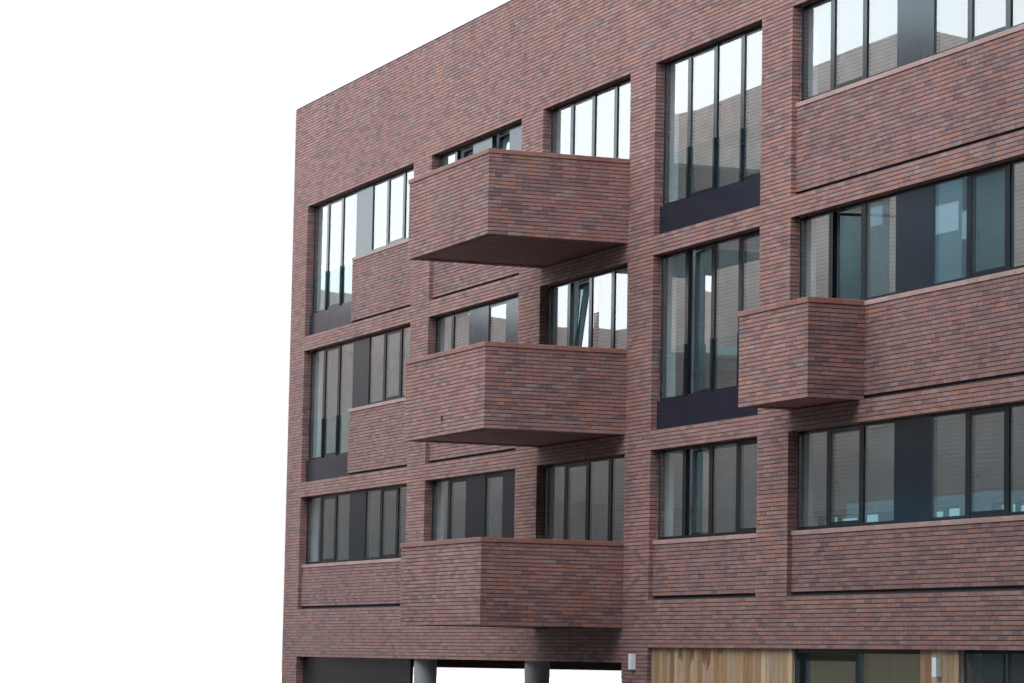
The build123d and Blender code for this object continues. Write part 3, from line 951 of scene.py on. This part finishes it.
def balcony_bricks(pile, balcony):
    """Bricks on the outer and inner faces of a balcony's walls."""
    steps = even_joints(0.0, balcony.width)
    sides = {
        balcony.left: (balcony.reach, 0),
        balcony.right: (balcony.reach + balcony.right_recess, len(steps) - 1),
    }
    low = round(balcony.foot / course)
    rows = range(low, round(balcony.wall_top / course))
    plain = ("plain", "plain")

    def deep_in(row):
        return lambda s: foot_brick_depth if row == low else brick_depth

    outer = {balcony.face: [], balcony.left: [], balcony.right: []}
    for row in rows:
        face_stretch = (0.0, balcony.width)
        outer[balcony.face] += one_course(row, face_stretch, steps, ("corner", "corner"), deep_in(row))
        for side, (end, count) in sides.items():
            start = corner_brick(row, count) + head_joint / 2
            outer[side] += one_course(row, (start, end), even_joints(0.0, end), plain, deep_in(row))
    for wall, boxes in outer.items():
        pile.boxes(wall, boxes, brick_play)
    slab_rows = round(balcony_slab_thickness / course)
    for wall, reach in balcony.inner_faces:
        boxes = []
        for row in (low, *rows[slab_rows:]):
            boxes += one_course(row, (0.0, reach), even_joints(0.0, reach), plain, deep_in(row))
        pile.boxes(wall, boxes, brick_play)


def balcony_core(pile, balcony):
    """Mortar between the bricks of a balcony's walls."""
    rake = joint_rake
    back = parapet_wall - rake
    section = (rake, back, balcony.foot + rake, balcony.wall_top)
    pile.boxes(balcony.face, [(rake, balcony.width - rake, *section)])
    pile.boxes(balcony.left, [(back, balcony.reach + frame_setback, *section)])
    pile.boxes(balcony.right, [(back, balcony.reach + balcony.right_end, *section)])


def coping_outline(low, inner, outer):
    """A coping's outline across its wall, with eased top edges."""
    high = low + sill_thickness
    ease = coping_ease
    return (
        (outer, low),
        (outer, high - ease),
        (outer + ease, high),
        (inner - ease, high),
        (inner, high - ease),
        (inner, low),
    )


def balcony_copings(pile, balcony):
    """Clay coping units on the front and side walls of a balcony."""
    out = coping_overhang
    inner = parapet_wall + out
    outline = coping_outline(balcony.wall_top, inner, -out)
    pile.units(balcony.face, outline, -out, balcony.width + out)
    right_end = min(balcony.right_end, sill_nose)
    for wall, end in ((balcony.left, frame_setback), (balcony.right, right_end)):
        pile.units(wall, outline, inner, balcony.reach)
        inside = coping_outline(balcony.wall_top, inner, 0.0)
        pile.prism(wall, inside, balcony.reach, balcony.reach + end, chance.uniform(0, 1))


def build_balconies():
    bricks = Pile()
    copings = Pile()
    for balcony in balconies:
        core = Pile()
        balcony_core(core, balcony)
        core.piece(balcony.name + "_mortar", mortar, slot="brick", replaces=(balcony.name + "_walls",))
        balcony_bricks(bricks, balcony)
        balcony_copings(copings, balcony)
    bricks.piece("balcony_bricks", brick, slot="brick")
    replaced = ("balcony_front_copings", "balcony_side_copings")
    copings.piece("balcony_clay_copings", coping_clay, slot="fired_clay", replaces=replaced)


build_balconies()


# Windows

def infill_modules(bay):
    return {7: (3,), 5: (2, 4), 4: ()}[bay_modules[bay]]


def sash_modules(bay):
    """Which modules of a bay open, in a sash of their own."""
    if bay == balcony_bay:
        return (1,)
    return (1, 3) if bay_modules[bay] == 4 else (1, bay_modules[bay] - 2)


def window_lights(wall):
    """Each glazed module: bay, storey, number, s0, s1, z0, z1 inside its frame."""
    lights = []
    for storey, bay, left, _ in window_bays(wall):
        pitch = bay_widths[bay] / bay_modules[bay]
        tall = full_height_modules(storey, bay, wall)
        head = storey * storey_height + head_height
        for number in range(bay_modules[bay]):
            if number in infill_modules(bay):
                continue
            low = storey * storey_height + sill_top
            if number < tall:
                on_balcony = bay in (balcony_bay, small_balcony_bay)
                low = recess_bottom(storey, bay) + (balcony_slab_thickness if on_balcony else tray_height)
            first = number in (0, tall)
            last = number in (tall - 1, bay_modules[bay] - 1)
            s0 = left + number * pitch + (frame_face if first else mullion_face / 2)
            s1 = left + (number + 1) * pitch - (frame_face if last else mullion_face / 2)
            lights.append((bay, storey, number, s0, s1, low + frame_face, head - frame_face))
    return lights


# Sashes that stand open in the photograph: bay, storey, module, and how wide they open
AJAR = {
    (1, 3, 1): ("tilt", 0.14),
    (1, 3, 3): ("tilt", 0.13),
    (2, 2, 1): ("tilt", 0.16),
    (3, 2, 1): ("right", 0.12),
    (3, 1, 1): ("right", 0.12),
    (4, 2, 1): ("left", 0.86),
}

# Plate, neck and grip of an inside lever: half width, start and end behind the sash, foot and head
LEVER = (
    (0.014, 0.0, 0.012, -0.035, 0.035),
    (0.009, 0.012, 0.040, -0.009, 0.009),
    (0.011, 0.040, 0.052, -0.125, 0.012),
)

# Tone of a pane's faces: only the outer one mirrors
OUTER_FACE = (0, 0, 1, 0, 0, 0)


def opened(points, s0, s1, z0, z1, way, reach):
    """Points of a sash and its pane, tilted in at the top or turned in about its left or right edge."""
    points = np.array(points, float)
    if way == "tilt":
        angle = math.asin(reach / (z1 - z0))
        rise = points[..., 2] - z0
        into = points[..., 1] - sash_setback
        points[..., 1] = sash_setback + into * math.cos(angle) + rise * math.sin(angle)
        points[..., 2] = z0 + rise * math.cos(angle)
        return points
    edge, side = (s0, 1) if way == "left" else (s1, -1)
    angle = math.asin(reach / (s1 - s0))
    hinge = sash_setback + sash_depth
    run = (points[..., 0] - edge) * side
    into = points[..., 1] - hinge
    points[..., 0] = edge + side * (run * math.cos(angle) - into * math.sin(angle))
    points[..., 1] = hinge + run * math.sin(angle) + into * math.cos(angle)
    return points


def sash_boxes(s0, s1, z0, z1):
    """Stiles and rails of a sash."""
    return ring_boxes(s0, s1, sash_setback, sash_setback + sash_depth, z0, z1, sash_face)


def lever_boxes(s0, z0, z1):
    """An inside lever on the left stile of a sash."""
    middle = s0 + sash_face / 2
    height = z0 + (z1 - z0) * lever_height_share
    back = sash_setback + sash_depth
    return [
        (middle - half, middle + half, back + start, back + end, height + foot, height + head)
        for half, start, end, foot, head in LEVER
    ]


def leaning(points, amount):
    """Panes sit a hair off true, so that their mirror images break between windows."""
    middle = points.mean(axis=1, keepdims=True)
    lean = chance.uniform(-amount, amount, (len(points), 1))
    swing = chance.uniform(-amount, amount, (len(points), 1))
    points[..., 1] += (points[..., 2] - middle[..., 2]) * lean + (points[..., 0] - middle[..., 0]) * swing
    return points


def bar_covers(wall):
    """Flat covers over the bars between two glazed lights."""
    lights = window_lights(wall)
    starts = {light[:3]: light for light in lights}
    covers = []
    for bay, storey, number, _, s1, z0, z1 in lights:
        after = starts.get((bay, storey, number + 1))
        if after is None:
            continue
        middle = (s1 + after[3]) / 2
        sides = (middle - cover_face / 2, middle + cover_face / 2)
        foot = max(z0, after[5]) - frame_face
        covers.append((*sides, frame_setback - cover_thickness, frame_setback, foot, z1 + frame_face))
    return covers


def build_windows(wall, side):
    sashes = Pile()
    levers = Pile()
    panes = Pile()
    for bay, storey, number, s0, s1, z0, z1 in window_lights(wall):
        ajar = AJAR.get((bay, storey, number)) if wall is front else None

        def set_open(points):
            return opened(points, s0, s1, z0, z1, *ajar) if ajar else points

        edge = -glass_rebate
        if number in sash_modules(bay):
            edge = sash_face - glass_rebate
            gap = sash_gap
            sash = corners(sash_boxes(s0 + gap, s1 - gap, z0 + gap, z1 - gap))
            lever = corners(lever_boxes(s0 + gap, z0, z1))
            sashes.add(wall, set_open(sash), box_faces(len(sash)))
            levers.add(wall, set_open(lever), box_faces(len(lever)))
        pane = corners([(s0 + edge, s1 - edge, *glass_depths, z0 + edge, z1 - edge)])
        panes.add(wall, set_open(leaning(pane, pane_lean)), BOX_FACES, OUTER_FACE)
    sashes.boxes(wall, bar_covers(wall), tones=0.5)
    sashes.piece(f"{side}_sashes", dark_metal, slot="dark_metal", replaces=(f"{side}_opening_sashes",))
    levers.piece(f"{side}_sash_levers", steel, slot="steel")
    panes.piece(f"{side}_panes", window_glass, slot="glass", replaces=(f"{side}_glass",))


def build_ground_panes():
    """Panes of the patio door and the end window, that mirror like the others."""
    pile = Pile()
    window_low, window_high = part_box("end_window_frame")
    left = window_low.x - left_end
    pitch = (window_high.x - window_low.x) / 2
    foot = window_low.z + frame_face
    head = window_high.z - frame_face
    boxes = []
    for number in range(2):
        s0 = left + number * pitch + (mullion_face / 2 if number else frame_face)
        s1 = left + (number + 1) * pitch - (frame_face if number else mullion_face / 2)
        boxes.append((s0, s1, *glass_depths, foot, head))
    fixed_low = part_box("ground_front_glass")[0]
    s0 = fixed_low.x - left_end
    s1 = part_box("patio_door_frame")[1].x - left_end - door_frame_face
    fixed = (fixed_pane_setback, fixed_pane_setback + glass_thickness)
    boxes.append((s0, s1, *fixed, fixed_low.z, head_height - door_frame_face))
    for box in boxes:
        pile.add(front, leaning(corners([box]), ground_pane_lean), BOX_FACES, OUTER_FACE)
    pile.piece("ground_panes", window_glass, slot="glass", replaces=("ground_front_glass",))
    low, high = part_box("patio_door_glass")
    across = (low.x - left_end, high.x - left_end)
    pile = Pile()
    pane = corners([(*across, low.y - front_face, high.y - front_face, low.z, high.z)])
    pile.add(front, pane, BOX_FACES, OUTER_FACE)
    replaced = ("patio_door_glass",)
    pile.piece("patio_leaf_pane", window_glass, body="patio_door", slot="glass", replaces=replaced)


build_windows(front, "front")
build_windows(rear, "rear")
build_ground_panes()


# Ground floor boards

# Water stains at the head of the boards: place and drop
STAINS = ((19.6, 0.12), (20.01, 0.24), (20.34, 0.25), (20.86, 0.30), (20.99, 0.38), (21.46, 0.13))


def build_boards():
    """Vertical boards, each with the drop of the stain at its head."""
    boxes = []
    stains = []
    door_low, door_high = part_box("patio_door_frame")
    door_left = door_low.x - left_end
    door_right = door_high.x - left_end
    window_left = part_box("end_window_frame")[0].x - left_end
    for start, end in ((infill_left, door_left), (door_right, window_left)):
        edges = np.linspace(start, end, round((end - start) / board_pitch) + 1)
        for a, b in zip(edges[:-1], edges[1:]):
            face = cladding_setback + chance.uniform(0, board_play)
            back = cladding_setback + cladding_thickness
            boxes.append((a + board_gap / 2, b - board_gap / 2, face, back, 0.0, head_height))
            stains.append(max([head_band_drop, *(drop for place, drop in STAINS if a < place < b)]))
    sides = len(BOX_FACES)
    tones = chance.uniform(0, 1, len(boxes))
    values = {"tone": np.repeat(tones, sides), "stain": np.repeat(stains, sides)}
    points = front.place(corners(boxes)).reshape(-1, 3)
    options = {"slot": "timber", "replaces": ("timber_cladding",)}
    mesh_piece("cedar_boards", points, box_faces(len(boxes)), timber, values, **options)


build_boards()


# Outlets, roof laps and end trim

def build_outlets():
    """Square outlets that drain the roof and the middle balcony through the brickwork."""
    rims = Pile()
    mouths = Pile()
    rim = outlet_rim
    for wall, (s, z) in ((front, roof_outlet), (balconies[1].face, balcony_outlet)):
        s0 = s - outlet_width / 2
        s1 = s + outlet_width / 2
        z0 = z - outlet_height / 2
        z1 = z + outlet_height / 2
        rims.boxes(wall, ring_boxes(s0, s1, *rim_depths, z0, z1, rim), tones=0.5)
        mouths.boxes(wall, [(s0 + rim, s1 - rim, *mouth_depths, z0 + rim, z1 - rim)], tones=0.5)
    rims.piece("outlet_rims", tray_metal, slot="dark_metal")
    mouths.piece("outlet_mouths", mortar, slot="dark_metal")


def build_roof_laps():
    """Welded laps between the sheets of the roof membrane, and upstands with a clamp strip."""
    s0 = d0 = wall_thickness
    s1 = length - wall_thickness
    d1 = depth - wall_thickness
    top = brick_top - strip_height

    def round_parapet(thickness, low, high):
        return [
            (s0, s1, d0, d0 + thickness, low, high),
            (s0, s1, d1 - thickness, d1, low, high),
            (s0, s0 + thickness, d0, d1, low, high),
            (s1 - thickness, s1, d0, d1, low, high),
        ]

    seams = np.linspace(s0, s1, round((s1 - s0) / sheet_width) + 1)[1:-1]
    high = roof_surface + lap_thickness
    laps = [(s - half_lap, s + half_lap, d0, d1, roof_surface, high) for s in seams]
    sheets = laps + round_parapet(upstand_thickness, roof_surface, top)
    box_piece("roof_membrane_laps", front, sheets, roofing, tones=0.5, slot="roofing")
    strips = round_parapet(strip_thickness, top, brick_top)
    box_piece("roof_clamp_strips", front, strips, coping_metal, tones=0.5, slot="coping_metal")


def build_end_trim():
    """Trim under the left end wall, round the head of the undercroft's open end, near-black with painted
    shade.
    """
    low = undercroft_head - end_trim_height
    box = (wall_thickness, depth - wall_thickness, *end_trim_depths, low, undercroft_head)
    box_piece("undercroft_end_trim", left_side, [box], shaded_ceiling, tones=0.5, slot="dark_metal")


build_outlets()
build_roof_laps()
build_end_trim()


# Nodes that keep their own shape

NODE_MATERIALS = {
    slab_concrete: [balcony.name + "_slab" for balcony in balconies],
    concrete: ["front_thresholds", "ground_floor", "ground_front_wall"],
    room_paint: [*(f"floor_level_{storey}" for storey in storeys), "roof_slab"],
    column_concrete: ["undercroft_columns"],
    plaster: ["passage_wall"],
    shaded_ceiling: ["undercroft_ceiling"],
    dark_metal: [
        *(f"front_window_frames_level_{storey}" for storey in storeys),
        "end_window_frame",
        "french_guard_posts",
        "patio_door_frame",
        "patio_door_leaf",
        "rear_window_frames",
        "undercroft_screen",
    ],
    panel_metal: ["infill_panels"],
    tray_metal: ["french_window_trays"],
    coping_metal: ["roof_coping"],
    roofing: ["roof_covering"],
    guard_glass: ["french_guard_glass"],
    light_cover: ["wall_lights"],
    steel: ["patio_door_handle"],
}

for material, names in NODE_MATERIALS.items():
    for name in names:
        slots = nodes[name].data.materials
        slots.clear()
        slots.append(material)


# Stage: floor, cards for mirrors and light, lamp and camera

floor_reach = 400.0
floor_height = -0.002
opposite_face = -8.0
opposite_course = 1.3 * course
card_gap = 0.01
sky_face = opposite_face - 1.0
sky_reach = 300.0
street_face = -20.0
street_ends = (-60.0, 90.0)
street_height = 14.0
street_clear = 17.5
side_gap = 2.5
side_reach = -14.0
side_height = 12.5
side_clear = 5.0
sky_strength = 2.7
lamp_strength = 1.2
lamp_width = 60
lamp_direction = (-0.25, 0.7, -0.85)

# Kinds of rays that don't see the cards that are only mirrored, and the cards that only light
MIRROR_UNSEEN = ("camera", "diffuse", "transmission", "shadow")
LIGHT_UNSEEN = ("camera", "glossy", "transmission")

# Glass and boards of the front opposite that the windows mirror: s0, s1, z0, z1 and glow
OPPOSITE_GLASS = (
    (-0.5, 5.3, 11.4, 12.45, (0.30, 0.43, 0.48)),
    (0.0, 4.5, 7.9, 8.9, (0.24, 0.34, 0.38)),
    (9.2, 16.5, 4.4, 5.48, (0.17, 0.27, 0.33)),
    (9.8, 10.9, 8.6, 11.5, (0.15, 0.155, 0.165)),
    (12.2, 13.7, 8.6, 11.4, (0.120, 0.225, 0.30)),
    (12.2, 13.6, 10.2, 10.72, (0.42, 0.66, 0.84)),
    (13.74, 15.6, 8.6, 11.4, (0.040, 0.070, 0.090)),
    (13.76, 14.1, 10.0, 10.5, (0.30, 0.50, 0.62)),
    (10.22, 10.7, 10.64, 11.0, (0.32, 0.48, 0.60)),
    (5.0, 12.7, 0.0, 2.85, (0.155, 0.130, 0.075)),
    (12.7, 24.0, 0.0, 2.85, (0.020, 0.018, 0.022)),
)

# Skyline of the front opposite that the windows mirror, from right to left: s and height
SKYLINE = (
    (33.0, 13.1),
    (15.6, 13.2),
    (13.6, 13.70),
    (12.4, 14.05),
    (11.3, 14.25),
    (1.99, 14.17),
    (0.28, 14.30),
    (0.28, 9.72),
    (-2.25, 9.80),
    (-3.2, 9.93),
    (-3.2, 10.3),
    (-3.5, 10.3),
    (-3.5, 9.96),
    (-5.85, 10.20),
    (-9.95, 10.81),
    (-12.6, 11.2),
    (-38.0, 15.0),
)


def floor_material():
    """Pale to the eye, and darker to the light that it throws back up."""
    look = new_look("stage_floor")
    colour = look.mixed(look.eye(), (0.05, 0.05, 0.05), (0.74, 0.74, 0.74))
    inputs = {"Base Color": colour, "Roughness": 1.0, "Specular IOR Level": 0.0}
    return look.finish(look.node("ShaderNodeBsdfPrincipled", inputs))


def opposite_bricks(look):
    """Courses of brick, brighter towards the roof."""
    height = look.height()
    rows = look.result("FRACT", look.result("DIVIDE", height, opposite_course))
    colour = look.palette(look.noise(3.0, 6.0), ((0.3, (1.04, 0.83, 0.78)), (0.7, (1.42, 1.15, 1.08))))
    colour = look.varied(colour, rows, 0.55, 0.85, 1.0, 0.45)
    return look.varied(colour, height, 5.0, 13.0, 0.11, 0.57)


def street_shade(look):
    """Dim light from across the street, dimmest near the ground."""
    level = look.spread(look.height(), 0.0, street_height)
    return look.palette(level, ((0.0, (0.05, 0.045, 0.045)), (1.0, (0.20, 0.195, 0.195))))


def side_shade(look):
    """Dim light from a block beside this one."""
    return (0.08, 0.075, 0.075)


def cloudy(look):
    """Bright sky with a little cloud."""
    cloud = look.palette(look.noise(0.06, 3.0), ((0.3, (0.90, 0.97, 1.0)), (0.7, (1.0, 1.0, 1.0))))
    return look.scaled(cloud, 2.1)


def card(name, points, colour, unseen, clear_within=0.0):
    """A stage card that gives off a colour, throws nothing back and is clear to what is near it."""
    look = new_look(name)
    inputs = {"Base Color": (0.0, 0.0, 0.0), "Specular IOR Level": 0.0}
    glow = {"Emission Color": colour(look), "Emission Strength": 1.0}
    shader = look.node("ShaderNodeBsdfPrincipled", {**inputs, **glow})
    if clear_within:
        reach = look.node("ShaderNodeLightPath", output="Ray Length")
        far = look.result("GREATER_THAN", reach, clear_within)
        shader = look.joined(far, look.node("ShaderNodeBsdfTransparent"), shader)
    face = [list(range(len(points)))]
    piece = mesh_piece(name, front.place(points), face, look.finish(shader), body=None)
    for kind in unseen:
        setattr(piece, "visible_" + kind, False)


def upright(s0, s1, d, z0, z1):
    """Corners of a card that faces the front."""
    return [(s0, d, z0), (s1, d, z0), (s1, d, z1), (s0, d, z1)]


def build_stage():
    ground = [(-1, -1), (1, -1), (1, 1), (-1, 1)]
    ground = [(x * floor_reach, y * floor_reach, floor_height) for x, y in ground]
    floor = mesh_piece("stage_floor", ground, [[0, 1, 2, 3]], floor_material(), body=None)
    outline = [(SKYLINE[-1][0], opposite_face, 0.0), (SKYLINE[0][0], opposite_face, 0.0)]
    outline += [(s, opposite_face, z) for s, z in SKYLINE]
    card("stage_bricks", outline, opposite_bricks, MIRROR_UNSEEN)
    for number, (s0, s1, z0, z1, glow) in enumerate(OPPOSITE_GLASS):
        points = upright(s0, s1, opposite_face + card_gap * (number + 1), z0, z1)
        card(f"stage_glass_{number}", points, lambda look: glow, MIRROR_UNSEEN)
    card("stage_sky", upright(-sky_reach, sky_reach, sky_face, 0.0, sky_reach), cloudy, MIRROR_UNSEEN)
    street = upright(*street_ends, street_face, 0.0, street_height)
    card("stage_street_front", street, street_shade, LIGHT_UNSEEN, street_clear)
    aside = length + side_gap
    edges = ((side_reach, 0.0), (0.0, 0.0), (0.0, side_height), (side_reach, side_height))
    side = [(aside, d, z) for d, z in edges]
    card("stage_side_front", side, side_shade, LIGHT_UNSEEN, side_clear)


def build_light():
    """An overcast sky that is a plain white backdrop to the eye, and a wide soft lamp."""
    world = bpy.data.worlds.new("overcast")
    bpy.context.scene.world = world
    look = Look(world)
    direction = look.node("ShaderNodeTexCoord", output="Generated")
    rise = look.spread(look.axis(direction, "Z"), -1.0, 1.0)
    sky = look.palette(rise, ((0.0, (0.2, 0.2, 0.2)), (0.5, (0.45, 0.47, 0.5)), (1.0, (1.0, 1.0, 1.0))))
    cool = look.spread(look.axis(direction, "X"), -0.2, 0.9)
    cool = look.palette(cool, ((0.0, (1.0, 1.0, 1.0)), (1.0, (0.98, 1.09, 1.20))))
    sky = look.mixed(1.0, sky, cool, "MULTIPLY")
    light = look.node("ShaderNodeBackground", {"Color": sky, "Strength": sky_strength})
    backdrop = look.node("ShaderNodeBackground", {"Color": (1.0, 1.0, 1.0), "Strength": 1.0})
    look.finish(look.joined(look.eye(), light, backdrop))
    lamp = bpy.data.lights.new("soft_key", "SUN")
    lamp.energy = lamp_strength
    lamp.angle = math.radians(lamp_width)
    key = bpy.data.objects.new("soft_key", lamp)
    key.rotation_euler = Vector(lamp_direction).to_track_quat("-Z", "Y").to_euler()
    bpy.context.scene.collection.objects.link(key)


# The photograph's camera: place, turn from the front, rise and roll in degrees, and lens in mm
camera_place = (48.34, -24.42, 2.40)
camera_turn = 69.04
camera_rise = 5.65
camera_roll = 1.10
camera_lens = 113.36


def build_camera():
    """The photograph's view: 69 degrees round from the front, from a little above eye height."""
    turn, rise, roll = (math.radians(angle) for angle in (camera_turn, camera_rise, camera_roll))
    forward = Vector((-math.sin(turn) * math.cos(rise), math.cos(turn) * math.cos(rise), math.sin(rise)))
    side = Vector((math.cos(turn), math.sin(turn), 0.0))
    up = side.cross(forward)
    right = side * math.cos(roll) + up * math.sin(roll)
    top = up * math.cos(roll) - side * math.sin(roll)
    data = bpy.data.cameras.new("camera")
    data.sensor_width = 36.0
    data.lens = camera_lens
    data.clip_end = 1000.0
    camera = bpy.data.objects.new("camera", data)
    turned = Matrix((right, top, -forward)).transposed()
    camera.matrix_world = Matrix.Translation(camera_place) @ turned.to_4x4()
    bpy.context.scene.collection.objects.link(camera)
    bpy.context.scene.camera = camera


build_stage()
build_light()
build_camera()
bpy.context.scene.view_settings.view_transform = "Standard"
